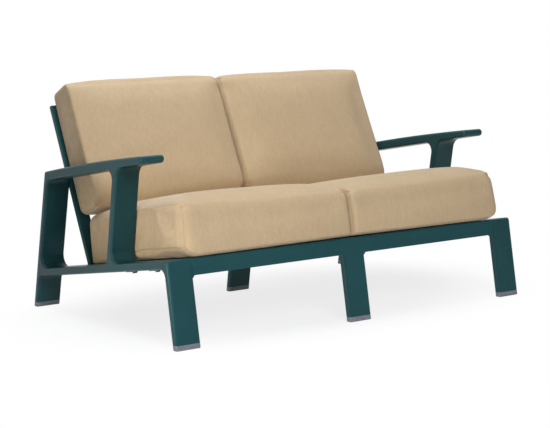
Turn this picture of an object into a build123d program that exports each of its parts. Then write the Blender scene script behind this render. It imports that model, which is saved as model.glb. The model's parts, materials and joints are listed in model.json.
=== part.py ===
from build123d import *
import math
import os

# Two-seat patio sofa: a welded aluminium frame with broad flat bands for legs, posts
# and arms, a slatted seat deck, a slatted back, and four loose cushions.
# Millimetres. X runs along the seat, -Y is the front, +Z is up.
# The origin is the centre of the footprint, on the floor.

# Driving sizes
overall_width = 1420.0
overall_depth = 918.0
seat_corner_height = 268.5      # top front corner of the frame, where front leg meets side rail
arm_front_height = 571.0
back_frame_height = 677.5       # top of the back uprights

# Slopes, in degrees
front_leg_lean = 9.9            # foot forward of the top
rear_leg_lean = 12.7            # foot behind the top
post_lean = 9.9                 # top forward of the foot
seat_slope = 9.3                # deck and side rails fall towards the rear
back_lean = 24.6                # uprights, from vertical
arm_under_slope = 9.65
middle_rear_leg_lean = 9.5

# Side frames
band_width = 89.0               # every leg, post and arm, along X
front_leg_thickness = 24.0
rear_leg_thickness = 26.0
post_thickness = 27.0
side_rail_thickness = 26.0
edge_round = 8.0
outer_corner_round = 9.0
arm_tip_round = 11.5
arm_tip_height = 24.5
arm_tip_reach = 184.0           # from the front foot back to the arm's front face
arm_rear_thickness = 30.6
arm_crown = 5.0                 # rise of the arm's top above a straight line
post_rear_reach = 383.5         # front foot to the post's rear face, at post_gauge_height
post_gauge_height = 356.0
rear_foot_inset = 9.0           # rear feet stand this far forward of the back's top

# Inside rounds of the side frame
round_leg_rail = 27.0
round_post_rail_front = 32.0
round_post_rail_rear = 12.0
round_post_arm_front = 40.0
round_post_arm_rear = 28.0
round_rear_leg_rail_low = 25.0
round_rear_leg_rail_high = 34.0
round_rear_leg_arm = 32.0

# Foot glides and the sockets they plug into
glide_height = 16.0
glide_edge = 2.0
spigot_width = 58.0
spigot_thickness = 9.0
spigot_height = 20.0
spigot_gap = 0.4                # all round the spigot, and above it

# Cross members
front_rail_height = 52.5
weld_round = 7.0                # concave corner between the front rail and each leg
pad_depth = 12.0                # square landing on the side frame behind a butt weld
ledge_depth = 20.0
ledge_height = 10.0
rear_rail_depth = 50.0
rear_rail_height = 18.0
rear_rail_landing = 16.0        # rail left ahead of the uprights' feet, for the slats' ends
middle_leg_thickness = 24.0
middle_rear_leg_inset = 20.9    # from the rear rail's front edge to the leg's front face

# Seat deck
slat_thickness = 8.0
slat_width = 60.0
slat_count = 10
slat_gap = 2.0                  # between a slat's end and what it faces
cross_bar_depth = 40.0
cross_bar_places = (137.0, 275.0)    # along the side rail from the frame's front corner
cross_bar_gap = 0.5             # between a cross bar's end and the side frame
tab_depth = 26.0
tab_thickness = 3.0
tab_inner_reach = 45.0          # how far a tab runs under its cross bar
tab_outer_inset = 26.0          # how far a tab stops short of the outer face
deck_bolt_inset = 50.0          # bolt centre from the outer face

# Fasteners
bolt_radius = 4.0
bolt_gap = 0.2
bolt_bite = 16.0                # depth of the hole in the casting
bolt_end_gap = 1.0              # between a bolt's end and the bottom of its hole
washer_radius = 11.0
washer_thickness = 1.6
head_radius = 7.5
head_height = 4.0
upright_bolt_height = 430.0

# Back
upright_width = 45.0
upright_thickness = 16.0
upright_edge = 2.5
back_slat_width = 40.0
back_slat_thickness = 6.0
back_slat_setback = 2.0         # behind the uprights' front faces
back_slat_places = (70.0, 235.0, 335.0, 435.0)   # up the uprights from the rear rail
top_rail_drop = 28.0            # from the uprights' top ends to the top rail's centre
top_rail_width = 32.0
top_rail_thickness = 12.0

# Cushions
cushion_side_gap = 2.0          # to the side frame
cushion_middle_gap = 1.5        # from the centre plane
cushion_lift = 0.5              # above the slats
seat_cushion_front = -14.0      # front face at mid height, measured along the deck
seat_cushion_rear_gap = 2.0     # to the uprights' feet
seat_cushion_thickness = 176.0
seat_cushion_crown = 24.0
seat_front_bulge = 12.0
seat_rear_bulge = 6.0
seat_front_top_round = 42.0
seat_other_round = 26.0
seat_rear_drop = 16.0           # the top falls this much more than the deck does
seat_side_round = 18.0          # edges at the seat cushion's two ends
back_cushion_height = 446.0
back_cushion_thickness = 128.0
back_cushion_taper = 0.05       # share thicker at the foot, and thinner at the top
back_cushion_crown = 22.0
back_top_bulge = 6.0
back_bottom_bulge = 4.0
back_round = 20.0
back_side_round = 14.0
back_cushion_drop = 14.0        # its foot hangs this far below the seat cushion's rear top
back_cushion_clear = 1.0        # in front of the uprights
side_drawn_in = 4.0             # how far a side pulls in between its corners
least_crown_share = 0.25        # of the crown, left at a cushion's ends
cushion_sections = 8            # spans in the loft of a cushion's middle

front_y = -overall_depth / 2
rear_y = overall_depth / 2
outer_x = overall_width / 2
inner_x = outer_x - band_width
overrun = 5.0                   # how far a cutting shape passes what it cuts
touching = 0.5                  # closer than this counts as touching, when edges are picked
almost_one = 0.999


def unit(degrees):
    """Unit vector in the YZ plane that leans this many degrees from up, towards the rear."""
    angle = math.radians(degrees)
    return (math.sin(angle), math.cos(angle))


def along(point, direction, distance):
    return (point[0] + direction[0] * distance, point[1] + direction[1] * distance)


def crossing(p, d, q, e):
    """Where the line through p along d meets the line through q along e."""
    cross = d[0] * e[1] - d[1] * e[0]
    step = ((q[0] - p[0]) * e[1] - (q[1] - p[1]) * e[0]) / cross
    return along(p, d, step)


def at_height(point, direction, height):
    return along(point, direction, (height - point[1]) / direction[1])


def midway(p, q):
    return ((p[0] + q[0]) / 2, (p[1] + q[1]) / 2)


up_front_leg = unit(front_leg_lean)
up_rear_leg = unit(-rear_leg_lean)
up_post = unit(-post_lean)
up_back = unit(back_lean)
up_middle_rear_leg = unit(-middle_rear_leg_lean)
deck_back = unit(90 + seat_slope)       # along the deck, rearwards
deck_up = unit(seat_slope)
arm_back = unit(90 + arm_under_slope)
arm_up = unit(arm_under_slope)
back_out = unit(90 + back_lean)         # out of the back's rear face

front_foot = (front_y, 0.0)
front_corner = at_height(front_foot, up_front_leg, seat_corner_height)
rear_foot = (rear_y - rear_foot_inset, 0.0)
arm_front_y = front_y + arm_tip_reach
arm_tip_top = (arm_front_y, arm_front_height)
arm_tip_low = (arm_front_y, arm_front_height - arm_tip_height)
arm_top_line = along(arm_tip_low, arm_up, arm_rear_thickness)
arm_rear_top = crossing(rear_foot, up_rear_leg, arm_top_line, arm_back)
post_rear = (front_y + post_rear_reach, post_gauge_height)
back_top = (rear_y, back_frame_height)


def offset_line(point, direction, distance):
    """The same line moved to its right-hand side, seen from +X."""
    return (point[0] + direction[1] * distance, point[1] - direction[0] * distance)


def deck_point(u, h):
    """A point u behind the frame's front corner along the deck, h above the side rail's top."""
    return along(along(front_corner, deck_back, u), deck_up, h)


def back_point(w, t):
    """A point w up the back from the rear rail's top, t in front of the uprights' rear faces."""
    return along(along(back_foot, up_back, w), back_out, -t)


back_foot = crossing(back_top, up_back, deck_point(0.0, -slat_thickness), deck_back)
upright_length = math.dist(back_foot, back_top)
upright_foot_depth = upright_thickness / math.cos(math.radians(back_lean - seat_slope))
upright_foot_u = math.dist(back_foot, deck_point(0.0, -slat_thickness)) - upright_foot_depth
rear_rail_u = upright_foot_u - rear_rail_landing


def wire_face(points):
    """Flat face in the YZ plane through these (y, z) points."""
    path = Polyline(*[(0.0, y, z) for y, z in points], close=True)
    return Face(Wire(path.edges()))


def rounded(face, corners):
    """The face with a round at each listed (point, radius)."""
    for (y, z), radius in corners:
        target = Vector(0.0, y, z)
        corner = min(face.vertices(), key=lambda v: (v.center() - target).length)
        face = face.fillet_2d(radius, [corner])
    return face


def bar(face, x_low, x_high):
    """The face pushed out along X from x_low to x_high."""
    return Solid.extrude(face.moved(Location((x_low, 0, 0))), Vector(x_high - x_low, 0, 0))


def box_in_plane(x_low, x_high, corners):
    return bar(wire_face(corners), x_low, x_high)


def deck_box(x_low, x_high, u_low, u_high, h_low, h_high):
    corners = [(u_low, h_low), (u_high, h_low), (u_high, h_high), (u_low, h_high)]
    return box_in_plane(x_low, x_high, [deck_point(u, h) for u, h in corners])


def back_box(x_low, x_high, w_low, w_high, t_low, t_high):
    corners = [(w_low, t_low), (w_high, t_low), (w_high, t_high), (w_low, t_high)]
    return box_in_plane(x_low, x_high, [back_point(w, t) for w, t in corners])


def leg_strip(foot, direction, thickness, low, high):
    """Corners of a leaning leg between two heights. foot is its front line at the floor."""
    rear = offset_line(foot, direction, thickness)
    return [
        at_height(foot, direction, low),
        at_height(foot, direction, high),
        at_height(rear, direction, high),
        at_height(rear, direction, low),
    ]


# Side frame outline
rear_leg_front = offset_line(rear_foot, up_rear_leg, -rear_leg_thickness)
front_leg_rear = offset_line(front_foot, up_front_leg, front_leg_thickness)
post_front = offset_line(post_rear, up_post, -post_thickness)
rail_under = deck_point(0.0, -side_rail_thickness)


def side_outline():
    post_foot = crossing(post_front, up_post, front_corner, deck_back)
    post_head = crossing(post_front, up_post, arm_tip_low, arm_back)
    rear_leg_fork = crossing(rear_leg_front, up_rear_leg, rail_under, deck_back)
    front_leg_fork = crossing(front_leg_rear, up_front_leg, rail_under, deck_back)
    lower = [
        at_height(front_foot, up_front_leg, glide_height),
        front_corner,
        post_foot,
        post_head,
        arm_tip_low,
        arm_tip_top,
    ]
    rest = [
        arm_rear_top,
        at_height(rear_foot, up_rear_leg, glide_height),
        at_height(rear_leg_front, up_rear_leg, glide_height),
        rear_leg_fork,
        front_leg_fork,
        at_height(front_leg_rear, up_front_leg, glide_height),
        lower[0],
    ]
    edges = list(Polyline(*[(0.0, y, z) for y, z in lower]).edges())
    arm_middle = along(midway(arm_tip_top, arm_rear_top), arm_up, arm_crown)
    arm_top = [(0.0, y, z) for y, z in (arm_tip_top, arm_middle, arm_rear_top)]
    edges.append(ThreePointArc(*arm_top).edge())
    edges += list(Polyline(*[(0.0, y, z) for y, z in rest]).edges())
    face = Face(Wire(edges))
    return rounded(face, [
        (front_corner, outer_corner_round),
        (post_foot, round_post_rail_front),
        (post_head, round_post_arm_front),
        (arm_tip_low, arm_tip_round),
        (arm_tip_top, arm_tip_round),
        (arm_rear_top, outer_corner_round),
        (rear_leg_fork, round_rear_leg_rail_low),
        (front_leg_fork, round_leg_rail),
    ])


def side_window():
    corners = [
        crossing(post_rear, up_post, front_corner, deck_back),
        crossing(post_rear, up_post, arm_tip_low, arm_back),
        crossing(rear_leg_front, up_rear_leg, arm_tip_low, arm_back),
        crossing(rear_leg_front, up_rear_leg, front_corner, deck_back),
    ]
    radii = [
        round_post_rail_rear,
        round_post_arm_rear,
        round_rear_leg_arm,
        round_rear_leg_rail_high,
    ]
    return rounded(wire_face(corners), list(zip(corners, radii)))


front_rail_low = seat_corner_height - front_rail_height


def front_rail_face(low):
    """Section of the front rail: the top of the front leg's outline, down to this height."""
    strip = leg_strip(front_foot, up_front_leg, front_leg_thickness, low, seat_corner_height)
    top_rear = crossing(front_leg_rear, up_front_leg, front_corner, deck_back)
    corners = [strip[0], front_corner, top_rear, strip[3]]
    return rounded(wire_face(corners), [(front_corner, outer_corner_round)])


def rear_rail_face(bottom):
    """Section of the rear rail down to this height, square to the deck."""
    corners = [
        (rear_rail_u, bottom),
        (rear_rail_u + rear_rail_depth, bottom),
        (rear_rail_u + rear_rail_depth, -slat_thickness),
        (rear_rail_u, -slat_thickness),
    ]
    return wire_face([deck_point(u, h) for u, h in corners])


def long_edges(solid, low):
    """Edges of a member's two flat sides, without those at its foot."""
    found = []
    for side in (solid.faces().sort_by(Axis.X)[0], solid.faces().sort_by(Axis.X)[-1]):
        for edge in side.edges():
            if edge.bounding_box().max.Z > low + touching:
                found.append(edge)
    return found


def spigot_socket(foot, direction, thickness, x_mid):
    """The slot in a leg's foot that takes a glide's spigot."""
    side = (thickness - spigot_thickness) / 2 - spigot_gap
    front = offset_line(foot, direction, side)
    strip = leg_strip(
        front, direction, spigot_thickness + 2 * spigot_gap,
        glide_height - overrun, glide_height + spigot_height + spigot_gap,
    )
    half = spigot_width / 2 + spigot_gap
    return box_in_plane(x_mid - half, x_mid + half, strip)


def bolt_hole(side, u):
    """Clearance hole up through a tab into the side rail."""
    x = side * (outer_x - deck_bolt_inset)
    low = -side_rail_thickness - tab_thickness - overrun
    length = bolt_bite + tab_thickness + overrun
    return deck_pin(x, u, low, length, bolt_radius + bolt_gap)


def deck_pin(x, u, low, length, radius):
    """A round pin square to the deck, starting at height low."""
    y, z = deck_point(u, low)
    plane = Plane(origin=(x, y, z), z_dir=(0, deck_up[0], deck_up[1]))
    return Solid.make_cylinder(radius, length, plane)


def upright_bolt_axis():
    """Where the bolt through an outer upright and the side frame lies, in the YZ plane."""
    rear = at_height(back_foot, up_back, upright_bolt_height)
    return along(rear, back_out, -upright_thickness / 2)


def cross_pin(side, x_from, x_to, radius):
    """A pin along X on the upright's bolt axis, between two distances from the centre plane."""
    y, z = upright_bolt_axis()
    plane = Plane(origin=(side * x_from, y, z), z_dir=(side, 0, 0))
    return Solid.make_cylinder(radius, x_to - x_from, plane)


def side_frame(side):
    """One cast side: front leg, side rail, post, arm and rear leg in a single piece."""
    x_low, x_high = sorted((side * inner_x, side * outer_x))
    loop = bar(side_outline(), x_low, x_high) - bar(side_window(), x_low - overrun, x_high + overrun)
    loop = loop.fillet(edge_round, long_edges(loop, glide_height))
    pad_low, pad_high = sorted((side * inner_x, side * (inner_x + pad_depth)))
    loop = loop + bar(front_rail_face(front_rail_low - weld_round), pad_low, pad_high)
    loop = loop + bar(rear_rail_face(-side_rail_thickness), pad_low, pad_high)
    x_mid = side * (inner_x + outer_x) / 2
    loop = loop - spigot_socket(front_foot, up_front_leg, front_leg_thickness, x_mid)
    loop = loop - spigot_socket(rear_leg_front, up_rear_leg, rear_leg_thickness, x_mid)
    for u in cross_bar_places:
        loop = loop - bolt_hole(side, u)
    return loop - cross_pin(side, inner_x - overrun, inner_x + bolt_bite, bolt_radius + bolt_gap)


def front_rail():
    """The front rail, flush with the front legs, with a concave weld round at each leg."""
    rail = bar(front_rail_face(front_rail_low), -inner_x, inner_x)
    strip = leg_strip(
        front_foot, up_front_leg, front_leg_thickness,
        front_rail_low - weld_round, front_rail_low,
    )
    half = band_width / 2
    for x, way in ((-inner_x, 1), (-half, -1), (half, 1), (inner_x, -1)):
        x_low, x_high = sorted((x, x + way * weld_round))
        corner = box_in_plane(x_low, x_high, strip)
        y, z = strip[0]
        scoop_plane = Plane(origin=(x + way * weld_round, y - overrun, z), z_dir=(0, 1, 0))
        scoop = Solid.make_cylinder(weld_round, front_leg_thickness + 2 * overrun, scoop_plane)
        rail = rail + (corner - scoop)
    return rail


def middle_front_leg():
    half = band_width / 2
    strip = leg_strip(
        front_foot, up_front_leg, middle_leg_thickness, glide_height, front_rail_low - weld_round
    )
    leg = box_in_plane(-half, half, strip)
    leg = leg.fillet(edge_round, leg.edges().filter_by(lambda e: is_lengthwise(e, up_front_leg)))
    head = leg_strip(
        front_foot, up_front_leg, middle_leg_thickness,
        front_rail_low - weld_round, front_rail_low,
    )
    leg = leg + box_in_plane(-half, half, head)
    return leg - spigot_socket(front_foot, up_front_leg, middle_leg_thickness, 0.0)


def is_lengthwise(edge, direction):
    tangent = edge.tangent_at(0.5)
    return abs(tangent.Y * direction[0] + tangent.Z * direction[1]) > almost_one


middle_rear_leg_top = deck_point(
    rear_rail_u + middle_rear_leg_inset, -slat_thickness - rear_rail_height
)
middle_rear_foot = at_height(middle_rear_leg_top, up_middle_rear_leg, 0.0)


def middle_rear_leg():
    """Stands under the rear rail and is cut to the rail's underside."""
    half = band_width / 2
    rear = offset_line(middle_rear_foot, up_middle_rear_leg, middle_leg_thickness)
    under = deck_point(0.0, -slat_thickness - rear_rail_height)
    corners = [
        at_height(middle_rear_foot, up_middle_rear_leg, glide_height),
        crossing(middle_rear_foot, up_middle_rear_leg, under, deck_back),
        crossing(rear, up_middle_rear_leg, under, deck_back),
        at_height(rear, up_middle_rear_leg, glide_height),
    ]
    leg = box_in_plane(-half, half, corners)
    lengthwise = leg.edges().filter_by(lambda e: is_lengthwise(e, up_middle_rear_leg))
    leg = leg.fillet(edge_round, lengthwise)
    return leg - spigot_socket(middle_rear_foot, up_middle_rear_leg, middle_leg_thickness, 0.0)


def glide(foot, direction, thickness, x_mid):
    """A foot glide: a cap with the leg's own section, and a spigot that plugs into the leg."""
    half = band_width / 2
    cap = box_in_plane(
        x_mid - half, x_mid + half, leg_strip(foot, direction, thickness, 0.0, glide_height)
    )
    cap = cap.fillet(edge_round, cap.edges().filter_by(lambda e: is_lengthwise(e, direction)))
    cap = cap.fillet(glide_edge, cap.faces().sort_by(Axis.Z)[0].edges())
    front = offset_line(foot, direction, (thickness - spigot_thickness) / 2)
    plug = box_in_plane(
        x_mid - spigot_width / 2, x_mid + spigot_width / 2,
        leg_strip(front, direction, spigot_thickness, glide_height, glide_height + spigot_height),
    )
    return cap + plug


def front_ledge():
    """Bar behind the front rail that carries the slats' front ends."""
    top = -slat_thickness
    rail_back = crossing(front_leg_rear, up_front_leg, deck_point(0.0, top), deck_back)
    rail_back_low = crossing(
        front_leg_rear, up_front_leg, deck_point(0.0, top - ledge_height), deck_back
    )
    corners = [
        rail_back,
        along(rail_back, deck_back, ledge_depth),
        along(rail_back_low, deck_back, ledge_depth),
        rail_back_low,
    ]
    return box_in_plane(-inner_x, inner_x, corners)


def cross_bar(u):
    half = cross_bar_depth / 2
    end = inner_x - cross_bar_gap
    return deck_box(-end, end, u - half, u + half, -side_rail_thickness, -slat_thickness)


def deck_tab(side, u):
    """Plate under a cross bar's end and under the side rail, drilled for the bolt."""
    half = tab_depth / 2
    x_low, x_high = sorted((side * (inner_x - tab_inner_reach), side * (outer_x - tab_outer_inset)))
    low = -side_rail_thickness - tab_thickness
    plate = deck_box(x_low, x_high, u - half, u + half, low, -side_rail_thickness)
    return plate - bolt_hole(side, u)


def deck_washer(side, u):
    x = side * (outer_x - deck_bolt_inset)
    low = -side_rail_thickness - tab_thickness - washer_thickness
    ring = deck_pin(x, u, low, washer_thickness, washer_radius)
    return ring - deck_pin(x, u, low - overrun, washer_thickness + 2 * overrun, bolt_radius + bolt_gap)


def deck_bolt(side, u):
    x = side * (outer_x - deck_bolt_inset)
    seat = -side_rail_thickness - tab_thickness - washer_thickness
    y, z = deck_point(u, seat - head_height)
    plane = Plane(origin=(x, y, z), z_dir=(0, deck_up[0], deck_up[1]))
    hexagon = plane * RegularPolygon(head_radius, 6)
    head = Solid.extrude(hexagon.face(), Vector(0, *along((0, 0), deck_up, head_height)))
    shank_length = washer_thickness + tab_thickness + bolt_bite - bolt_end_gap
    return head + deck_pin(x, u, seat, shank_length, bolt_radius)


def upright(side):
    """Back upright on the rear rail, square at the top. side is -1, 0 for the middle one, or 1."""
    x_mid = side * (inner_x - upright_width / 2)
    half = upright_width / 2
    foot_front = crossing(back_point(0.0, upright_thickness), up_back, back_foot, deck_back)
    corners = [
        back_foot,
        back_top,
        along(back_top, back_out, -upright_thickness),
        foot_front,
    ]
    post = box_in_plane(x_mid - half, x_mid + half, corners)
    post = post.fillet(upright_edge, post.edges().filter_by(lambda e: is_lengthwise(e, up_back)))
    if side == 0:
        return post
    low, high = inner_x - upright_width - overrun, inner_x + overrun
    return post - cross_pin(side, low, high, bolt_radius + bolt_gap)


def upright_bolt(side):
    seat = inner_x - upright_width
    shank = cross_pin(side, seat, inner_x + bolt_bite - bolt_end_gap, bolt_radius)
    return shank + cross_pin(side, seat - head_height, seat, head_radius)


def back_bar(side, w_mid, width, thickness):
    """One bar across a bay of the back, between the middle upright and an outer one."""
    low, high = upright_width / 2, inner_x - upright_width
    x_low, x_high = sorted((side * low, side * high))
    front = upright_thickness - back_slat_setback
    return back_box(x_low, x_high, w_mid - width / 2, w_mid + width / 2, front - thickness, front)


def seat_slat(index):
    """Slat from the front ledge to the rear rail, its top level with the side rails."""
    pitch = 2 * inner_x / slat_count
    x_mid = pitch * (2 * index + 1) / 2 - inner_x
    front_lean_from_deck = math.radians(front_leg_lean - seat_slope)
    start = front_leg_thickness / math.cos(front_lean_from_deck) + slat_gap
    end = upright_foot_u - slat_gap
    half = slat_width / 2
    return deck_box(x_mid - half, x_mid + half, start, end, -slat_thickness, 0.0)


def arc_point(centre, radius, degrees):
    angle = math.radians(degrees)
    return (centre[0] + radius * math.cos(angle), centre[1] + radius * math.sin(angle))


def pillow_section(place, low, high, rounds, bows, x):
    """One closed outline of a cushion at x. place maps (a, b) in the outline to (y, z).

    low and high are opposite corners of the outline. rounds are its corner radii and bows
    how far its sides swell out, each counted from the low corner and the low b side.
    A side without a bow is straight.
    """
    (a0, b0), (a1, b1) = low, high
    centres = [
        (a0 + rounds[0], b0 + rounds[0]),
        (a1 - rounds[1], b0 + rounds[1]),
        (a1 - rounds[2], b1 - rounds[2]),
        (a0 + rounds[3], b1 - rounds[3]),
    ]
    starts = (180, 270, 0, 90)
    outward = ((0, -1), (1, 0), (0, 1), (-1, 0))
    edges = []
    for i in range(4):
        turn = [arc_point(centres[i], rounds[i], starts[i] + step) for step in (0, 45, 90)]
        edges.append(ThreePointArc(*[(x, *place(*point)) for point in turn]).edge())
        after = (i + 1) % 4
        target = arc_point(centres[after], rounds[after], starts[after])
        swell = along(midway(turn[2], target), outward[i], bows[i])
        side = [(x, *place(*point)) for point in (turn[2], swell, target)]
        if bows[i] == 0:
            edges.append(Line(side[0], side[2]).edge())
        else:
            edges.append(ThreePointArc(*side).edge())
    return Wire(edges)


def cushion(x_low, x_high, place, depth, height, rounds, swells, side_round):
    """A boxed cushion along X: a crowned middle, two rounded ends, and drawn-in sides."""
    (a0, a1), (b0, b1) = depth, height
    span = x_high - x_low

    def section(distance, inset):
        share = distance / span
        rise = 4 * share * (1 - share)
        waist = inset + side_drawn_in * rise
        bows = [0.0]
        for swell in swells:
            bows.append(swell * (least_crown_share + (1 - least_crown_share) * rise))
        low = (a0 + waist, b0 + inset / 2)
        high = (a1 - waist, b1 - inset)
        return pillow_section(place, low, high, rounds, bows, x_low + distance)

    near, far = [], []
    for angle in (0, 30, 60, 90):
        distance = side_round * (1 - math.cos(math.radians(angle)))
        inset = side_round * (1 - math.sin(math.radians(angle)))
        near.append(section(distance, inset))
        far.append(section(span - distance, inset))
    middle = []
    for step in range(cushion_sections + 1):
        distance = side_round + (span - 2 * side_round) * step / cushion_sections
        middle.append(section(distance, 0.0))
    body = Solid.make_loft(middle) + Solid.make_loft(near) + Solid.make_loft(far)
    for x, way in ((x_low, 1), (x_high, -1)):
        body = body - scoop(x, way, place, depth, height, side_round)
    return body


def scoop(x, way, place, depth, height, side_round):
    """What is cut from a cushion's end so that it draws in between its corners."""
    ends = [(depth[0] + side_round, 0.0), (sum(depth) / 2, way * side_drawn_in)]
    ends.append((depth[1] - side_round, 0.0))
    points = [(x + inward, *place(a, height[0] - overrun)) for a, inward in ends]
    edges = [ThreePointArc(*points).edge()]
    outside = [(x - way * overrun, *place(a, height[0] - overrun)) for a, _ in ends]
    edges += list(Polyline(points[2], outside[2], outside[0], points[0]).edges())
    start, end = place(0.0, height[0] - overrun), place(0.0, height[1] + overrun)
    return Solid.extrude(Face(Wire(edges)), Vector(0, end[0] - start[0], end[1] - start[1]))


def seat_cushion(side):
    x_low, x_high = sorted((side * cushion_middle_gap, side * (inner_x - cushion_side_gap)))
    depth = upright_foot_u - seat_cushion_rear_gap - seat_cushion_front

    def place(a, b):
        share = b / seat_cushion_thickness
        fall = seat_rear_drop * (a - seat_cushion_front) / depth
        return deck_point(a, cushion_lift + b - fall * share)

    return cushion(
        x_low, x_high, place,
        (seat_cushion_front, seat_cushion_front + depth),
        (0.0, seat_cushion_thickness),
        (seat_other_round, seat_other_round, seat_other_round, seat_front_top_round),
        (seat_rear_bulge, seat_cushion_crown, seat_front_bulge),
        seat_side_round,
    )


def back_cushion(side):
    """Leans on the uprights, thicker at the foot than at the top."""
    x_low, x_high = sorted((side * cushion_middle_gap, side * (inner_x - cushion_side_gap)))
    rear = upright_thickness + back_cushion_clear
    foot_height = cushion_lift + seat_cushion_thickness - seat_rear_drop - back_cushion_drop
    lift = (foot_height + slat_thickness) / math.cos(math.radians(back_lean - seat_slope))

    def place(a, b):
        fullness = 1 + back_cushion_taper * (1 - 2 * a / back_cushion_height)
        return back_point(lift + a, rear + b * fullness)

    return cushion(
        x_low, x_high, place,
        (0.0, back_cushion_height),
        (0.0, back_cushion_thickness),
        (back_round, back_round, back_round, back_round),
        (back_top_bulge, back_cushion_crown, back_bottom_bulge),
        back_side_round,
    )


def write(name, shape):
    export_step(shape, os.path.join("parts", name + ".step"))


def main():
    os.makedirs("parts", exist_ok=True)
    sides = (("left", -1), ("right", 1))
    mid_x = (inner_x + outer_x) / 2

    write("front_rail", front_rail())
    write("front_ledge", front_ledge())
    write("middle_front_leg", middle_front_leg())
    rail_bottom = -slat_thickness - rear_rail_height
    write("rear_seat_rail", bar(rear_rail_face(rail_bottom), -inner_x, inner_x))
    write("middle_rear_leg", middle_rear_leg())

    for name, side in sides:
        write("side_frame_" + name, side_frame(side))
        write("back_upright_" + name, upright(side))
        write("back_top_rail_" + name, back_bar(
            side, upright_length - top_rail_drop, top_rail_width, top_rail_thickness))
        for number, w in enumerate(back_slat_places, 1):
            slat = back_bar(side, w, back_slat_width, back_slat_thickness)
            write("back_slat_" + name + "_" + str(number), slat)
        front_glide = glide(front_foot, up_front_leg, front_leg_thickness, side * mid_x)
        write("foot_glide_front_" + name, front_glide)
        rear_glide = glide(rear_leg_front, up_rear_leg, rear_leg_thickness, side * mid_x)
        write("foot_glide_rear_" + name, rear_glide)
        write("seat_cushion_" + name, seat_cushion(side))
        write("back_cushion_" + name, back_cushion(side))

    write("back_upright_middle", upright(0))
    middle_glide = glide(front_foot, up_front_leg, middle_leg_thickness, 0.0)
    write("foot_glide_front_middle", middle_glide)
    middle_glide = glide(middle_rear_foot, up_middle_rear_leg, middle_leg_thickness, 0.0)
    write("foot_glide_rear_middle", middle_glide)

    for name, u in zip(("front", "rear"), cross_bar_places):
        write("deck_cross_bar_" + name, cross_bar(u))
    for index in range(slat_count):
        write("seat_slat_" + str(index + 1).zfill(2), seat_slat(index))

    spots = [(side, u) for _, side in sides for u in cross_bar_places]
    write("deck_tabs", Compound([deck_tab(side, u) for side, u in spots]))
    write("deck_washers", Compound([deck_washer(side, u) for side, u in spots]))
    write("deck_bolts", Compound([deck_bolt(side, u) for side, u in spots]))
    write("upright_bolts", Compound([upright_bolt(side) for _, side in sides]))


main()
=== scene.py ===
import json
import math

import bpy
import numpy as np
from mathutils import Matrix, Vector


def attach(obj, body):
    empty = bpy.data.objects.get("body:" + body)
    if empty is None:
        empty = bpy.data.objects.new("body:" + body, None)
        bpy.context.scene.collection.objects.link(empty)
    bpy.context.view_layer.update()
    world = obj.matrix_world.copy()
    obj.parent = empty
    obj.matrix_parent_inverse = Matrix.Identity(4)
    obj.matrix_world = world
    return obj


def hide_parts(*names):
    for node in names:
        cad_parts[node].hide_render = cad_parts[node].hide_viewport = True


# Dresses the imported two-seat patio sofa: powder-coated frame, four cloth cushions with
# sewn seams, a pale floor and soft light. Metres, in the model's own frame.

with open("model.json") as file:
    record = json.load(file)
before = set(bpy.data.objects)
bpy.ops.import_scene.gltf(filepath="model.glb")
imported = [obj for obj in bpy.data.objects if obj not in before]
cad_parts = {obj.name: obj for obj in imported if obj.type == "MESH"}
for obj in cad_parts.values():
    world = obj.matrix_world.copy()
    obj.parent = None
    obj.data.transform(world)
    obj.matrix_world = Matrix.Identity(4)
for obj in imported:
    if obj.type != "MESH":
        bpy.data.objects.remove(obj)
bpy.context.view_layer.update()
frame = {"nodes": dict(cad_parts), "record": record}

# The deck and the back, as the source lays them out
DECK_CORNER = Vector((0.0, -0.41214, 0.2685))
DECK_SLOPE = math.radians(9.3)
BACK_FOOT = Vector((0.0, 0.22060, 0.15678))
BACK_LEAN = math.radians(24.6)

# The camera of the photograph. Turn is azimuth, elevation and roll in degrees.
CAMERA_PLACE = (-3.1537, -4.3028, 1.0462)
CAMERA_TURN = (-36.1829, 7.9526, -0.6712)
CAMERA_LENS = 102.28
SENSOR_WIDTH = 36.0

# Powder coat, glides and fasteners
PAINT_DARK = (0.009, 0.044, 0.048)
PAINT_LIGHT = (0.012, 0.051, 0.056)
# Painted highlight: the paler colour given to rounded edges
PAINT_EDGE_HIGHLIGHT = (0.022, 0.102, 0.112)
PAINT_ROUGHNESS = (0.31, 0.37)
PAINT_SPECULAR = 0.17
PEEL_DEPTH = 0.00012
GLIDE_DARK = (0.150, 0.160, 0.182)
GLIDE_LIGHT = (0.200, 0.212, 0.238)
GLIDE_ROUGHNESS = (0.45, 0.62)
GLIDE_GRAIN_DEPTH = 0.00008
# Fastener steel, made dark as painted shade where the bolts sit in shadow
STEEL_SHADED_DARK = (0.06, 0.065, 0.07)
STEEL_SHADED_LIGHT = (0.12, 0.125, 0.13)
STEEL_ROUGHNESS = (0.25, 0.45)
STEEL_MARK_DEPTH = 0.00005

# Woven cloth
CLOTH_DARK = (0.462, 0.334, 0.194)
CLOTH_MID = (0.508, 0.373, 0.222)
CLOTH_LIGHT = (0.553, 0.414, 0.256)
CLOTH_ROUGHNESS = 0.92
CLOTH_SPECULAR = 0.2
CLOTH_SHEEN = 0.15
CLOTH_SHEEN_ROUGHNESS = 0.5
SLUB_SCALE = (640, 34, 34)      # yarn across the width
CROSS_SCALE = (60, 700, 700)    # yarn along it
CROSS_SHARE = 0.36
BLOTCH_SIZE = 7.0
YARN_DEPTH = 0.0002
WEAVE_DEPTH = 0.00015
WEAVE_THREADS = 330.0
SEAM_TINT = (0.92, 0.9, 0.87)

# Cushions: the places of a cushion's axes in its grid, and what all four share
X, A, B = 0, 1, 2
PITCH = 0.0115
SEAM_RADIUS = 0.0012
SEAM_SINK = 0.0012
FOLD_SINK = 0.0055
CENTRE_PRESS = 0.003            # how far a box starts past the centre plane
CENTRE_GAP = 0.0008
FRAME_INNER = 0.621
FRAME_GAP = 0.0012

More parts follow.
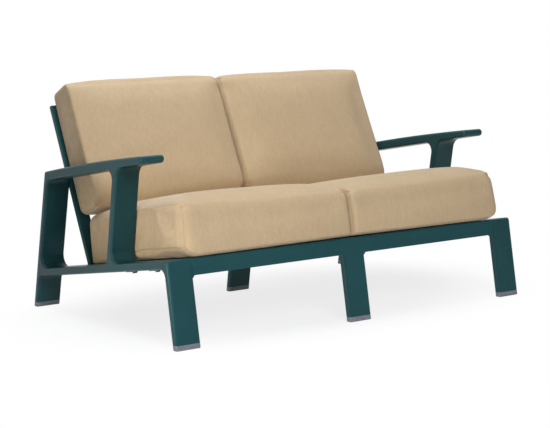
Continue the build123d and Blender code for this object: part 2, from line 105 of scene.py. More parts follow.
# The cloth simulation
PRESSURE = 4.0
MOST_MOVE = 0.020
SEAM_SHRINK = (-0.006, 0.010)   # least and most
FRAMES = 14
EDGE_GIVE = 0.30                # share of the movement that a seam keeps
EDGE_REACH = 0.07               # how far from a seam it grows to all of it
CALM_PASSES = 10
BACK_SHARE = 0.6                # share of the movement that the firmer back cushions keep

# A seat cushion's box: its outer end, along the deck (a) and above it (b), then its crowns
SEAT_OUTER = 0.622
SEAT_A = (-0.014, 0.622)
SEAT_B = (0.0012, 0.171)
SEAT_CROWN = 0.200
SEAT_NOSE = -0.024
SEAT_BULGE = 0.042              # how far the outer end may swell over the side rail
SEAT_FOLD = (0.02, 0.56)        # the fold along the outer end's foot, from and to

# Edges drawn round. Each row: the axes across the edge, the ends they meet at (along x 1 is
# the outer end and -1 the inner one), the radius.
SEAT_ROUNDS = (
    ((X, A), (1, -1), 0.040),
    ((X, A), (-1, -1), 0.026),
    ((X, A), (1, 1), 0.022),
    ((X, A), (-1, 1), 0.022),
    ((A, B), (-1, 1), 0.052),
    ((A, B), (1, 1), 0.024),
    ((X, B), (1, 1), 0.034),
    ((X, B), (-1, 1), 0.030),
)

# How far corners are drawn out or in. Each key: outer end, rear, top. Along x plus is outwards.
SEAT_CORNERS = {
    (1, 0, 0): (0.034, -0.004, 0),
    (1, 1, 0): (-0.002, 0, 0),
    (1, 0, 1): (0.027, -0.002, 0.007),
    (1, 1, 1): (-0.004, 0, -0.008),
    (0, 1, 1): (0, 0, -0.014),
    (0, 0, 1): (0.003, 0.003, -0.004),
    (0, 0, 0): (0.003, 0.003, 0.003),
}

# A back cushion's box: its outer end, up the back (a) and out of it (b), then its foot's swell
BACK_OUTER = 0.616
BACK_A = (0.164, 0.614)
BACK_B = (0.0172, 0.142)
BACK_LOW = 0.153
BACK_ROUNDS = (
    ((X, B), (1, 1), 0.008),
    ((X, B), (-1, 1), 0.030),
    ((X, B), (1, -1), 0.012),
    ((X, B), (-1, -1), 0.010),
    ((A, B), (1, 1), 0.034),
    ((A, B), (1, -1), 0.018),
    ((A, B), (-1, 1), 0.050),
    ((A, B), (-1, -1), 0.014),
    ((X, A), (1, 1), 0.012),
    ((X, A), (-1, 1), 0.024),
    ((X, A), (1, -1), 0.022),
    ((X, A), (-1, -1), 0.040),
)

# Floor, world and lamps
FLOOR_HALF = 9.0
FLOOR_DROP = 0.0006
FLOOR_COLOUR = (0.86, 0.86, 0.87)
FLOOR_GLOW = 0.80               # how much of the floor is plain white to the camera up close
FLOOR_FADE = (0.42, 0.92)       # from and to, in footprint lengths
FLOOR_FOOTPRINT = (0.78, 1.25, 1.0)
AMBIENT = 0.24
AMBIENT_COLOUR = (1.0, 0.965, 0.91)
ROOM_FADE = (-0.55, 0.25)       # where reflections of the room turn from dim to white
ROOM_DIM = 0.18
WHITE = (1.0, 1.0, 1.0)

# Each lamp: name, place, target, size, power, colour, width of its beam in degrees
LAMPS = (
    ("key", (-1.2, -3.0, 2.0), (-0.1, 0, 0.4), 1.4, 61, (0.97, 1.0, 1.05), 180),
    ("overhead", (-0.3, 0.4, 2.8), (0, 0, 0.3), 2.2, 57, (0.93, 1.0, 1.12), 180),
    ("low", (-2.6, -0.70, 0.22), (-0.66, -0.24, 0.29), 0.40, 0.80, (1.0, 0.98, 0.94), 30),
)


def make_camera():
    azimuth, elevation, roll = map(math.radians, CAMERA_TURN)
    back = Vector((
        math.sin(azimuth) * math.cos(elevation),
        -math.cos(azimuth) * math.cos(elevation),
        math.sin(elevation),
    ))
    right = Vector((math.cos(azimuth), math.sin(azimuth), 0.0))
    up = right.cross(-back)
    turned_right = right * math.cos(roll) + up * math.sin(roll)
    turned_up = up * math.cos(roll) - right * math.sin(roll)
    data = bpy.data.cameras.new("camera")
    data.sensor_fit = "HORIZONTAL"
    data.sensor_width = SENSOR_WIDTH
    data.lens = CAMERA_LENS
    camera = bpy.data.objects.new("camera", data)
    axes = Matrix((turned_right, turned_up, back)).transposed().to_4x4()
    camera.matrix_world = Matrix.Translation(CAMERA_PLACE) @ axes
    bpy.context.collection.objects.link(camera)
    bpy.context.scene.camera = camera


make_camera()


# Materials

class Tree:
    """Short calls for building a node tree."""

    def __init__(self, tree):
        self.tree = tree

    def add(self, kind, **values):
        node = self.tree.nodes.new(kind)
        for key, value in values.items():
            if hasattr(node, key):
                setattr(node, key, value)
            else:
                node.inputs[key.replace("_", " ")].default_value = value
        return node

    def join(self, a, b):
        self.tree.links.new(a, b)

    def place(self, scale):
        """Object coordinates, scaled along each axis."""
        coordinates = self.add("ShaderNodeTexCoord")
        mapping = self.add("ShaderNodeMapping", Scale=scale)
        self.join(coordinates.outputs["Object"], mapping.inputs["Vector"])
        return mapping.outputs["Vector"]

    def noise(self, scale, size=1.0, detail=3.0, roughness=0.55):
        node = self.add("ShaderNodeTexNoise", Scale=size, Detail=detail, Roughness=roughness)
        self.join(self.place(scale), node.inputs["Vector"])
        return node.outputs["Fac"]

    def ramp(self, value, stops):
        node = self.add("ShaderNodeValToRGB")
        while len(node.color_ramp.elements) < len(stops):
            node.color_ramp.elements.new(0.5)
        for element, (at, colour) in zip(node.color_ramp.elements, stops):
            element.position = at
            element.color = (*colour, 1.0)
        self.join(value, node.inputs["Fac"])
        return node.outputs["Color"]

    def spread(self, value, low, high):
        """The value, mapped from 0..1 to low..high."""
        node = self.add("ShaderNodeMapRange")
        node.inputs["To Min"].default_value = low
        node.inputs["To Max"].default_value = high
        self.join(value, node.inputs["Value"])
        return node.outputs["Result"]

    def math(self, operation, a, b):
        node = self.add("ShaderNodeMath", operation=operation)
        for socket, value in zip(node.inputs, (a, b)):
            if isinstance(value, (int, float)):
                socket.default_value = value
            else:
                self.join(value, socket)
        return node.outputs["Value"]

    def mix(self, factor, a, b, blend="MIX"):
        node = self.add("ShaderNodeMix", data_type="RGBA", blend_type=blend)
        for socket, value in ((node.inputs[0], factor), (node.inputs[6], a), (node.inputs[7], b)):
            if isinstance(value, (int, float)):
                socket.default_value = value
            elif isinstance(value, tuple):
                socket.default_value = (*value, 1.0)
            else:
                self.join(value, socket)
        return node.outputs[2]

    def bump(self, height, distance, strength=1.0, under=None):
        node = self.add("ShaderNodeBump", Strength=strength, Distance=distance)
        self.join(height, node.inputs["Height"])
        if under is not None:
            self.join(under, node.inputs["Normal"])
        return node.outputs["Normal"]

    def fade(self, value, start, end, low, high):
        """low before start, high after end, smooth between."""
        node = self.add("ShaderNodeMapRange", interpolation_type="SMOOTHSTEP")
        for name, number in zip(("From Min", "From Max", "To Min", "To Max"), (start, end, low, high)):
            node.inputs[name].default_value = number
        self.join(value, node.inputs["Value"])
        return node.outputs["Result"]

    def seen(self, path):
        """1 for a ray that shows the background itself: camera, glossy or transmission."""
        seen = self.math("MAXIMUM", path.outputs["Is Camera Ray"], path.outputs["Is Glossy Ray"])
        return self.math("MAXIMUM", seen, path.outputs["Is Transmission Ray"])


class Nodes(Tree):
    """A new material and its node tree."""

    def __init__(self, name):
        self.material = bpy.data.materials.new(name)
        self.material.use_nodes = True
        super().__init__(self.material.node_tree)
        self.shader = self.tree.nodes["Principled BSDF"]
        self.output = self.tree.nodes["Material Output"]


def paint_material():
    """Satin powder coat: faint orange peel, a touch of mottle, convex edges drawn paler as a painted
    highlight.
    """
    n = Nodes("powder_coat")
    mottle = n.noise((1, 1, 1), size=9.0, detail=4.0)
    colour = n.ramp(mottle, ((0.3, PAINT_DARK), (0.7, PAINT_LIGHT)))
    # Painted highlight: convex edges turn paler, standing in for light caught on their rounding
    geometry = n.add("ShaderNodeNewGeometry")
    painted_edge_highlight = n.ramp(geometry.outputs["Pointiness"], ((0.5, (0, 0, 0)), (0.56, (0.35, 0.35, 0.35))))
    colour = n.mix(painted_edge_highlight, colour, PAINT_EDGE_HIGHLIGHT)
    n.join(colour, n.shader.inputs["Base Color"])
    peel = n.noise((1, 1, 1), size=420.0, detail=2.0)
    n.join(n.spread(mottle, *PAINT_ROUGHNESS), n.shader.inputs["Roughness"])
    n.join(n.bump(peel, PEEL_DEPTH, 0.5), n.shader.inputs["Normal"])
    n.shader.inputs["Specular IOR Level"].default_value = PAINT_SPECULAR
    return n.material


def glide_material():
    """Grey moulded plastic with a fine spark-eroded grain and scuffs near the floor."""
    n = Nodes("glide_plastic")
    scuff = n.noise((1, 1, 3), size=60.0, detail=5.0)
    n.join(n.ramp(scuff, ((0.35, GLIDE_DARK), (0.65, GLIDE_LIGHT))), n.shader.inputs["Base Color"])
    grain = n.noise((1, 1, 1), size=1500.0, detail=2.0)
    n.join(n.spread(scuff, *GLIDE_ROUGHNESS), n.shader.inputs["Roughness"])
    n.join(n.bump(grain, GLIDE_GRAIN_DEPTH, 0.6), n.shader.inputs["Normal"])
    return n.material


def steel_material():
    """Steel drawn dark as painted shade, for bolt heads that sit in shadow, with fine turning marks.
    """
    n = Nodes("fastener_steel")
    marks = n.noise((1, 1, 14), size=220.0, detail=4.0)
    n.join(n.ramp(marks, ((0.3, STEEL_SHADED_DARK), (0.7, STEEL_SHADED_LIGHT))), n.shader.inputs["Base Color"])
    n.join(n.spread(marks, *STEEL_ROUGHNESS), n.shader.inputs["Roughness"])
    n.join(n.bump(marks, STEEL_MARK_DEPTH, 0.5), n.shader.inputs["Normal"])
    n.shader.inputs["Metallic"].default_value = 1.0
    return n.material


def cloth_material(name, seam=False):
    """Woven outdoor cloth: slubby heathered yarn in a plain weave."""
    n = Nodes(name)
    slub = n.noise(SLUB_SCALE, detail=2.0)
    cross = n.noise(CROSS_SCALE, detail=2.0)
    blotch = n.noise((1, 1, 1), size=BLOTCH_SIZE, detail=2.0)
    yarn = n.mix(CROSS_SHARE, slub, cross)
    colour = n.ramp(yarn, ((0.32, CLOTH_DARK), (0.5, CLOTH_MID), (0.68, CLOTH_LIGHT)))
    tone = n.ramp(blotch, ((0.3, (0.975, 0.972, 0.968)), (0.7, (1.02, 1.02, 1.02))))
    colour = n.mix(1.0, colour, tone, "MULTIPLY")
    facing = n.add("ShaderNodeSeparateXYZ")
    n.join(n.add("ShaderNodeTexCoord").outputs["Normal"], facing.inputs[0])
    # Threads counted along an axis show only where the cloth runs along that axis
    threads = []
    for axis, label in enumerate("XYZ"):
        scale = [0.0, 0.0, 0.0]
        scale[axis] = WEAVE_THREADS
        wave = n.add("ShaderNodeTexWave", wave_type="BANDS", bands_direction=label, Scale=1.0)
        wave.inputs["Distortion"].default_value = 0.4
        n.join(n.place(scale), wave.inputs["Vector"])
        ahead = n.math("POWER", n.math("ABSOLUTE", facing.outputs[label], 0.0), 2.0)
        across = n.math("SUBTRACT", 0.5, n.math("MULTIPLY", ahead, 0.5))
        threads.append(n.math("MULTIPLY", wave.outputs["Fac"], across))
    weave = n.math("ADD", n.math("ADD", threads[0], threads[1]), threads[2])
    gaps = n.ramp(weave, ((0.2, (0.93, 0.93, 0.93)), (0.6, (1.02, 1.02, 1.02))))
    colour = n.mix(1.0, colour, gaps, "MULTIPLY")
    if seam:
        colour = n.mix(1.0, colour, SEAM_TINT, "MULTIPLY")
    n.join(colour, n.shader.inputs["Base Color"])
    under = n.bump(yarn, YARN_DEPTH, 0.4)
    n.join(n.bump(weave, WEAVE_DEPTH, 0.5, under), n.shader.inputs["Normal"])
    n.shader.inputs["Roughness"].default_value = CLOTH_ROUGHNESS
    n.shader.inputs["Specular IOR Level"].default_value = CLOTH_SPECULAR
    n.shader.inputs["Sheen Weight"].default_value = CLOTH_SHEEN
    n.shader.inputs["Sheen Roughness"].default_value = CLOTH_SHEEN_ROUGHNESS
    return n.material


paint = paint_material()
plastic = glide_material()
steel = steel_material()
cloth = cloth_material("woven_cloth")
seam_cloth = cloth_material("seam_cloth", seam=True)

slots = {sub["node"]: sub["material_slot"] for sub in frame["record"]["subparts"]}
by_slot = {
    "frame_paint": paint,
    "glide_plastic": plastic,
    "fastener_steel": steel,
    "cushion_cloth": cloth,
}
for node, piece in frame["nodes"].items():
    for slot in piece.material_slots:
        slot.material = by_slot[slots[node]]


# Cushions

def graded(low, high, pitch):
    """Places from low to high: close together at both ends, where a seam runs."""
    ends = [0.0, 0.004, 0.010, 0.018]
    count = max(2, round((high - low - 2 * ends[-1]) / pitch))
    inner = [low + ends[-1] + (high - low - 2 * ends[-1]) * i / count for i in range(count + 1)]
    return [low + e for e in ends[:-1]] + inner + [high - e for e in reversed(ends[:-1])]


class Box:
    """The skin of a box as one grid of quads. Axes are x, a and b."""

    def __init__(self, low, high, pitch):
        self.low, self.high = np.array(low), np.array(high)
        self.lines = [graded(low[i], high[i], pitch) for i in range(3)]
        self.count = [len(line) - 1 for line in self.lines]
        self.index = {}
        self.points = []
        self.faces = []
        for axis in range(3):
            for end in (0, self.count[axis]):
                self.panel(axis, end)
        self.points = np.array(self.points)

    def vertex(self, key):
        if key not in self.index:
            self.index[key] = len(self.points)
            self.points.append([self.lines[i][key[i]] for i in range(3)])
        return self.index[key]

    def panel(self, axis, end):
        one, two = [i for i in range(3) if i != axis]
        flip = (end == 0) != (axis == 1)
        for i in range(self.count[one]):
            for j in range(self.count[two]):
                corners = []
                for di, dj in ((0, 0), (1, 0), (1, 1), (0, 1)):
                    key = [0, 0, 0]
                    key[axis], key[one], key[two] = end, i + di, j + dj
                    corners.append(self.vertex(tuple(key)))
                self.faces.append(corners[::-1] if flip else corners)

    def where(self, test):
        """Indices of the vertices whose grid key passes the test."""
        return [self.index[key] for key in self.index if test(key)]

    def ring(self, x_end):
        """The seam round one end panel, as an ordered loop of vertex indices."""
        x = 0 if x_end == 0 else self.count[0]
        a, b = self.count[1], self.count[2]
        keys = [(x, i, 0) for i in range(a)] + [(x, a, j) for j in range(b)]
        keys += [(x, i, b) for i in range(a, 0, -1)] + [(x, 0, j) for j in range(b, 0, -1)]
        return [self.index[key] for key in keys]

    def row(self, a_end, b_end):
        """The seam along x at one long edge, as an ordered run of vertex indices."""
        a = 0 if a_end == 0 else self.count[1]
        b = 0 if b_end == 0 else self.count[2]
        return [self.index[(x, a, b)] for x in range(self.count[0] + 1)]


def share_of(box):
    """Each rest point's place in the box, 0 to 1 along every axis."""
    return (box.points - box.low) / (box.high - box.low)


def round_edge(points, box, axes, ways, radius):
    """Rounds the edge where two panels meet, by drawing its square into a quarter disc.
    axes names the two axes across the edge, ways the end of each: -1 low, 1 high."""
    (i, j), (wi, wj) = axes, ways
    ends = [(box.high if way > 0 else box.low)[axis] for axis, way in zip(axes, ways)]
    p = (points[:, i] - (ends[0] - wi * radius)) * wi
    q = (points[:, j] - (ends[1] - wj * radius)) * wj
    reach = np.hypot(p, q)
    share = np.where((p > 0) & (q > 0), np.maximum(p, q) / np.maximum(reach, 1e-9), 1.0)
    out = points.copy()
    inside = share < 1
    out[:, i] = np.where(inside, ends[0] - wi * radius + wi * p * share, points[:, i])
    out[:, j] = np.where(inside, ends[1] - wj * radius + wj * q * share, points[:, j])
    return out


def move_corners(points, box, shifts):
    """Moves the box's corners by their shifts, and all between them in proportion."""
    share = share_of(box)
    out = points.copy()
    for key, shift in shifts.items():
        weight = np.prod([share[:, i] if key[i] else 1 - share[:, i] for i in range(3)], axis=0)
        out += weight[:, None] * np.array(shift)
    return out


def swell(points, box, axis, way, rise, power):
    """Crowns one panel: most in its middle, nothing along its seams."""
    share = share_of(box) * 2 - 1
    amount = np.clip(share[:, axis] * way, 0, 1)
    for i in range(3):
        if i != axis:
            amount = amount * (1 - np.abs(share[:, i]) ** power)
    out = points.copy()
    out[:, axis] += way * rise * amount
    return out


def swell_to(points, box, axis, way, place, power):
    """Crowns one panel until its farthest point lies at the given place."""
    for _ in range(4):
        rise = (place - way * (points[:, axis] * way).max()) * way
        points = swell(points, box, axis, way, rise, power)
    return points


def ease(value, start, end):
    """0 before start, 1 after end, smooth between."""
    t = np.clip((value - start) / (end - start), 0, 1)
    return t * t * (3 - 2 * t)


def from_seam(box):
    """How far each rest point lies from the nearest edge of its panel."""
    away = np.minimum(box.points - box.low, box.high - box.points)
    return np.sort(away, axis=1)[:, 1]


def calmed(box, values, passes):
    """Evens out a field over the skin, so that only its broad swells and pulls are left."""
    edges = {tuple(sorted((f[i], f[i - 1]))) for f in box.faces for i in range(4)}
    ends = np.array(sorted(edges))
    count = np.bincount(ends.ravel(), minlength=len(values))[:, None]
    for _ in range(passes):
        total = np.zeros_like(values)
        np.add.at(total, ends[:, 0], values[ends[:, 1]])
        np.add.at(total, ends[:, 1], values[ends[:, 0]])
        values = 0.5 * values + 0.5 * total / count
    return values


def corner_indices(box):
    count = box.count
    keys = [(i, j, k) for i in (0, 1) for j in (0, 1) for k in (0, 1)]
    return {key: box.index[tuple(count[n] * key[n] for n in range(3))] for key in keys}


def normals_of(mesh):
    out = np.empty(len(mesh.vertices) * 3)
    mesh.vertex_normals.foreach_get("vector", out)
    return out.reshape(-1, 3)


def coordinates(mesh):
    out = np.empty(len(mesh.vertices) * 3)
    mesh.vertices.foreach_get("co", out)
    return out.reshape(-1, 3)


def inflate(piece, pins, seams):
    """Blows the cloth up, softly capped, with the seam lines a little short so they pucker."""
    scene = bpy.context.scene
    pin_group = piece.vertex_groups.new(name="pin")
    pin_group.add(pins, 1.0, "REPLACE")
    seam_group = piece.vertex_groups.new(name="seam")
    seam_group.add(seams, 1.0, "REPLACE")
    cloth_modifier = piece.modifiers.new("inflate", "CLOTH")
    settings = cloth_modifier.settings
    settings.quality = 5
    settings.mass = 0.3
    settings.tension_stiffness = 18.0
    settings.compression_stiffness = 10.0
    settings.shear_stiffness = 8.0
    settings.bending_stiffness = 0.6
    settings.use_pressure = True
    settings.uniform_pressure_force = PRESSURE
    settings.vertex_group_mass = pin_group.name
    settings.vertex_group_shrink = seam_group.name
    settings.shrink_min, settings.shrink_max = SEAM_SHRINK
    settings.effector_weights.gravity = 0.0
    cloth_modifier.collision_settings.use_collision = False
    cloth_modifier.point_cache.frame_start = 1
    cloth_modifier.point_cache.frame_end = FRAMES
    for number in range(1, FRAMES + 1):
        scene.frame_set(number)
    evaluated = piece.evaluated_get(bpy.context.evaluated_depsgraph_get())
    mesh = evaluated.to_mesh()
    moved = coordinates(mesh)
    evaluated.to_mesh_clear()
    piece.modifiers.remove(cloth_modifier)
    scene.frame_set(1)
    start = coordinates(piece.data)
    shift = moved - start
    length = np.linalg.norm(shift, axis=1, keepdims=True)
    shift *= MOST_MOVE * np.tanh(length / MOST_MOVE) / np.maximum(length, 1e-9)
    piece.vertex_groups.clear()
    return start + shift


def tube(name, path, radius, closed, matrix, material):
    """A thin round cord of cloth along a path: a sewn seam's ridge."""
    points = np.array(path)
    count = len(points)
    if closed:
        ahead, behind = np.roll(points, -1, 0), np.roll(points, 1, 0)
    else:
        ahead = np.vstack((points[1:], points[-1:]))
        behind = np.vstack((points[:1], points[:-1]))
    along = ahead - behind
    along /= np.maximum(np.linalg.norm(along, axis=1, keepdims=True), 1e-9)
    side = np.cross(along, points - points.mean(0))
    side /= np.maximum(np.linalg.norm(side, axis=1, keepdims=True), 1e-9)
    up = np.cross(side, along)
    sides = 8
    vertices, faces = [], []
    for i in range(count):
        for k in range(sides):
            angle = 2 * math.pi * k / sides
            offset = side[i] * math.cos(angle) + up[i] * math.sin(angle)
            vertices.append(points[i] + offset * radius)
    for i in range(count if closed else count - 1):
        after = (i + 1) % count
        for k in range(sides):
            turn = (k + 1) % sides
            faces.append([i * sides + k, i * sides + turn, after * sides + turn, after * sides + k])
    if not closed:
        faces.append([k for k in range(sides)])
        faces.append([(count - 1) * sides + k for k in reversed(range(sides))])
    mesh = bpy.data.meshes.new(name)
    mesh.from_pydata([tuple(v) for v in vertices], [], faces)
    mesh.polygons.foreach_set("use_smooth", [True] * len(faces))
    mesh.materials.append(material)
    piece = bpy.data.objects.new(name, mesh)
    piece.matrix_world = matrix
    bpy.context.collection.objects.link(piece)
    return piece


def smooth_path(points, steps, closed):
    """Catmull-Rom points between the given ones."""
    points = np.array(points)
    count = len(points)
    out = []
    for i in range(count if closed else count - 1):
        if closed:
            p = [points[(i + k) % count] for k in (-1, 0, 1, 2)]
        else:
            p = [points[min(max(i + k, 0), count - 1)] for k in (-1, 0, 1, 2)]
        for s in range(steps):
            t = s / steps
            out.append(0.5 * (
                2 * p[1] + (p[2] - p[0]) * t
                + (2 * p[0] - 5 * p[1] + 4 * p[2] - p[3]) * t ** 2
                + (3 * p[1] - p[0] - 3 * p[2] + p[3]) * t ** 3
            ))
    if not closed:
        out.append(points[-1])
    return out


def dent(points, normals, centre, along, length, width, depth):
    """Pushes in a soft elongated hollow (or out, with a negative depth)."""
    centre, along = np.array(centre), np.array(along, float)
    along /= np.linalg.norm(along)
    offset = points - centre
    run = offset @ along
    across = np.linalg.norm(offset - np.outer(run, along), axis=1)
    fall = np.exp(-(run / length) ** 2 - (across / width) ** 2)
    return points - normals * (fall * depth)[:, None]


def finish_cushion(body, box, points, matrix, side, bulge, runs, dents, folds=()):
    """Turns the settled points into the cushion and its seams."""
    name = body + "_cover"
    mesh = bpy.data.meshes.new(name)
    mesh.from_pydata([tuple(p) for p in points], [], box.faces)
    mesh.update()
    normals = normals_of(mesh)
    for values in dents:
        points = dent(points, normals, *values)
    points = keep_between(points, side, bulge)
    sunk = sorted({i for run, _ in runs for i in run})
    points[sunk] -= normals[sunk] * SEAM_SINK
    for run in folds:
        points[run] -= normals[run] * FOLD_SINK
    mesh.vertices.foreach_set("co", points.ravel())
    mesh.polygons.foreach_set("use_smooth", [True] * len(mesh.polygons))
    mesh.materials.append(cloth)
    piece = bpy.data.objects.new(name, mesh)
    piece.matrix_world = matrix
    bpy.context.collection.objects.link(piece)
    fine = piece.modifiers.new("fine", "SUBSURF")
    fine.levels = fine.render_levels = 1
    evaluated = piece.evaluated_get(bpy.context.evaluated_depsgraph_get())
    smooth = bpy.data.meshes.new_from_object(evaluated)
    piece.modifiers.remove(fine)
    piece.data = smooth
    settled = coordinates(smooth)
    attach(piece, body)
    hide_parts(body)
    for number, (run, closed) in enumerate(runs, 1):
        path = smooth_path([settled[i] for i in run], 2, closed)
        seam = tube(f"{body}_seam_{number}", path, SEAM_RADIUS, closed, matrix, seam_cloth)
        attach(seam, body)


def settle(name, box, points, matrix, pins, runs, share=1.0):
    """The points after the cloth has been blown up. Its corners go back to where they began."""
    mesh = bpy.data.meshes.new(name + "_rough")
    mesh.from_pydata([tuple(p) for p in points], [], box.faces)
    mesh.update()
    piece = bpy.data.objects.new(name + "_rough", mesh)
    piece.matrix_world = matrix
    bpy.context.collection.objects.link(piece)
    out = inflate(piece, pins, sorted({i for run, _ in runs for i in run}))
    bpy.data.objects.remove(piece)
    bpy.data.meshes.remove(mesh)
    loose = EDGE_GIVE + (1 - EDGE_GIVE) * ease(from_seam(box), 0, EDGE_REACH)
    out = points + share * calmed(box, (out - points) * loose[:, None], CALM_PASSES)
    shifts = {key: points[i] - out[i] for key, i in corner_indices(box).items()}
    return move_corners(out, box, shifts)


def tilted(origin, a, b):
    """A matrix whose local axes are x, a and b."""
    return Matrix.Translation(origin) @ Matrix(((1, 0, 0), a, b)).transposed().to_4x4()


DECK = tilted(
    DECK_CORNER,
    (0, math.cos(DECK_SLOPE), -math.sin(DECK_SLOPE)),
    (0, math.sin(DECK_SLOPE), math.cos(DECK_SLOPE)),
)
BACK = tilted(
    BACK_FOOT,
    (0, math.sin(BACK_LEAN), math.cos(BACK_LEAN)),
    (0, -math.cos(BACK_LEAN), math.sin(BACK_LEAN)),
)


def x_span(side, outer):
    """The x span of a cushion's box. It starts past the centre plane, where the two press flat."""
    return (-CENTRE_PRESS, outer) if side > 0 else (-outer, CENTRE_PRESS)


def keep_between(points, side, bulge):
    """Keeps a cushion off the centre plane and the side frame. In front of the post the outer
    end may swell over the side rail by the bulge."""
    out = points.copy()
    free = 1 - ease(out[:, A], 0.03, 0.25)
    outer = FRAME_INNER - FRAME_GAP + bulge * free
    out[:, X] = np.clip(out[:, X] * side, CENTRE_GAP, outer) * side
    return out


def turned_under(place, start, length, rise):
    """How far an edge's foot lifts: nothing before start, the whole rise a length further."""
    return rise * np.clip((place - start) / length, 0, 1) ** 2


def round_edges(points, box, side, rounds):
    for axes, ways, radius in rounds:
        if axes[0] == X:
            ways = (ways[0] * side, ways[1])
        points = round_edge(points, box, axes, ways, radius)
    return points


def draw_corners(points, box, side, corners):
    """move_corners for a table that counts the outer end as 1."""
    return move_corners(points, box, {
        (outer if side > 0 else 1 - outer, a, b): (side * shift[X], shift[A], shift[B])
        for (outer, a, b), shift in corners.items()
    })


def seam_runs(box, first):
    """The seams round both ends, then along both long edges of the base, from this end of a."""
    rings = [box.ring(0), box.ring(1)]
    rows = [box.row(first, 0), box.row(1 - first, 0)]
    return [(ring, True) for ring in rings] + [(row, False) for row in rows]


def seat_cushion(name, side):
    """A boxed seat pad: soft waterfall front, crowned top, lower edges turned under."""
    x = x_span(side, SEAT_OUTER)
    box = Box((x[0], SEAT_A[0], SEAT_B[0]), (x[1], SEAT_A[1], SEAT_B[1]), PITCH)
    points = box.points.copy()
    reach, along = points[:, X] * side, points[:, A]
    lift = turned_under(reach, start=0.567, length=0.055, rise=0.031) * (1 - ease(along, 0.25, 0.60))
    lift += turned_under(-along, start=-0.016, length=0.030, rise=0.008)
    lift += turned_under(along, start=0.590, length=0.032, rise=0.005)
    points[:, B] += lift * (1 - share_of(box)[:, B])
    points = round_edges(points, box, side, SEAT_ROUNDS)
    points = draw_corners(points, box, side, SEAT_CORNERS)
    points = swell(points, box, B, 1, 0.016, 3.2)
    points = swell(points, box, A, -1, 0.005, 2.2)
    points = swell(points, box, X, side, 0.009, 3.0)
    pins = box.where(lambda key: key[2] == 0)
    runs = seam_runs(box, first=0)
    points = settle(name, box, points, DECK, pins, runs)
    points = swell_to(points, box, B, 1, SEAT_CROWN, 4.6)
    points = swell_to(points, box, A, -1, SEAT_NOSE, 2.4)
    outer, inner = side * SEAT_OUTER, -side * 0.004
    dents = [
        ((outer, 0.020, 0.150), (0, 0.5, 1), 0.030, 0.018, 0.003),
        ((outer - side * 0.012, 0.055, 0.176), (0, 1, 0), 0.050, 0.010, 0.003),
        ((inner, 0.030, 0.160), (0, 0.6, 1), 0.030, 0.016, 0.002),
    ]
    end = box.count[X] if side > 0 else 0
    fold = box.where(lambda key: (
        key[X] == end and key[B] == 0 and SEAT_FOLD[0] < box.lines[A][key[A]] < SEAT_FOLD[1]
    ))
    finish_cushion(name, box, points, DECK, side, SEAT_BULGE, runs, dents, (fold,))


def back_cushion(name, side, front_top, front_low, crown, top_end):
    """A back pad: wrapped round top, boxed ends, fuller near its foot."""
    x = x_span(side, BACK_OUTER)
    box = Box((x[0], BACK_A[0], BACK_B[0]), (x[1], BACK_A[1], BACK_B[1]), PITCH)
    points = round_edges(box.points.copy(), box, side, BACK_ROUNDS)
    points = draw_corners(points, box, side, {
        (1, 1, 0): (-0.008, -0.004, 0),
        (1, 0, 0): (-0.004, 0.008, 0),
        (0, 0, 0): (0, 0.008, 0),
        (1, 1, 1): (0.003, -0.006, front_top - BACK_B[1]),
        (1, 0, 1): (0.002, -0.006, front_low - BACK_B[1]),
        (0, 1, 1): (0, -0.004, 0.004),
        (0, 1, 0): (0, -0.003, 0),
        (0, 0, 1): (0.005, 0.008, 0.008),
    })
    points = swell(points, box, B, 1, 0.014, 5.0)
    points = swell(points, box, A, 1, 0.004, 5.0)
    pins = box.where(lambda key: key[2] == 0)
    runs = seam_runs(box, first=1)
    points = settle(name, box, points, BACK, pins, runs, BACK_SHARE)
    points = swell_to(points, box, B, 1, crown, 6.0)
    points = swell_to(points, box, A, 1, top_end, 5.0)
    points = swell_to(points, box, A, -1, BACK_LOW, 2.8)
    outer, inner = side * BACK_OUTER, -side * 0.004
    dents = [
        ((inner + side * 0.02, 0.560, 0.140), (side, -0.7, 0), 0.050, 0.020, 0.004),
        ((inner + side * 0.02, 0.210, 0.150), (side, 0.5, 0), 0.045, 0.012, 0.004),
        ((outer, 0.215, 0.130), (0, -0.4, 1), 0.050, 0.014, 0.004),
    ]
    finish_cushion(name, box, points, BACK, side, 0.0, runs, dents)


seat_cushion("seat_cushion_left", -1)
seat_cushion("seat_cushion_right", 1)
back_cushion("back_cushion_left", -1, front_top=0.147, front_low=0.149, crown=0.167, top_end=0.625)
back_cushion("back_cushion_right", 1, front_top=0.159, front_low=0.168, crown=0.173, top_end=0.621)


# Floor and light

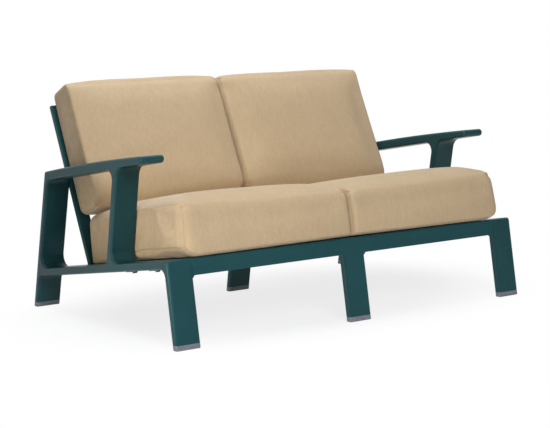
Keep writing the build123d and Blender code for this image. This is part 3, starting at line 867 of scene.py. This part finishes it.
def make_floor():
    """Pale floor that fades to white away from the object. The camera sees a soft shadow."""
    mesh = bpy.data.meshes.new("floor")
    half = FLOOR_HALF
    corners = [(-half, -half), (half, -half), (half, half), (-half, half)]
    mesh.from_pydata([(x, y, -FLOOR_DROP) for x, y in corners], [], [(0, 1, 2, 3)])
    floor = bpy.data.objects.new("floor", mesh)
    bpy.context.collection.objects.link(floor)
    n = Nodes("floor")
    n.shader.inputs["Base Color"].default_value = (*FLOOR_COLOUR, 1.0)
    n.shader.inputs["Roughness"].default_value = 0.9
    n.shader.inputs["Specular IOR Level"].default_value = 0.0
    white = n.add("ShaderNodeEmission", Color=(*WHITE, 1.0), Strength=1.0)
    grain = n.noise((1, 1, 1), size=3.0)
    distance = n.add("ShaderNodeVectorMath", operation="LENGTH")
    n.join(n.place(FLOOR_FOOTPRINT), distance.inputs[0])
    away = n.math("ADD", distance.outputs["Value"], n.spread(grain, -0.05, 0.05))
    glow = n.fade(away, *FLOOR_FADE, FLOOR_GLOW, 1.0)
    seen = n.seen(n.add("ShaderNodeLightPath"))
    blend = n.add("ShaderNodeMixShader")
    n.join(n.math("MULTIPLY", seen, glow), blend.inputs[0])
    n.join(n.shader.outputs[0], blend.inputs[1])
    n.join(white.outputs[0], blend.inputs[2])
    n.join(blend.outputs[0], n.output.inputs["Surface"])
    mesh.materials.append(n.material)


def make_world():
    """Soft light from all round. The camera sees white, and reflections a room dim in front."""
    world = bpy.data.worlds.new("studio")
    bpy.context.scene.world = world
    world.use_nodes = True
    world.node_tree.nodes.clear()
    n = Tree(world.node_tree)
    path = n.add("ShaderNodeLightPath")
    soft = n.add("ShaderNodeBackground", Color=(*AMBIENT_COLOUR, 1.0), Strength=AMBIENT)
    white = n.add("ShaderNodeBackground", Color=(*WHITE, 1.0))
    parts = n.add("ShaderNodeSeparateXYZ")
    n.join(n.add("ShaderNodeTexCoord").outputs["Generated"], parts.inputs[0])
    room = n.fade(parts.outputs["Y"], *ROOM_FADE, ROOM_DIM, 1.0)
    n.join(n.math("MAXIMUM", room, path.outputs["Is Camera Ray"]), white.inputs["Strength"])
    blend = n.add("ShaderNodeMixShader")
    n.join(n.seen(path), blend.inputs[0])
    n.join(soft.outputs[0], blend.inputs[1])
    n.join(white.outputs[0], blend.inputs[2])
    n.join(blend.outputs[0], n.add("ShaderNodeOutputWorld").inputs["Surface"])


def lamp(name, place, target, size, power, colour, beam):
    data = bpy.data.lights.new(name, "AREA")
    data.shape = "DISK"
    data.size = size
    data.energy = power
    data.color = colour
    data.spread = math.radians(beam)
    light = bpy.data.objects.new(name, data)
    light.location = place
    light.rotation_mode = "QUATERNION"
    light.rotation_quaternion = (Vector(target) - Vector(place)).to_track_quat("-Z", "Y")
    bpy.context.collection.objects.link(light)


make_floor()
make_world()
for row in LAMPS:
    lamp(*row)

view = bpy.context.scene.view_settings
view.view_transform = "Standard"
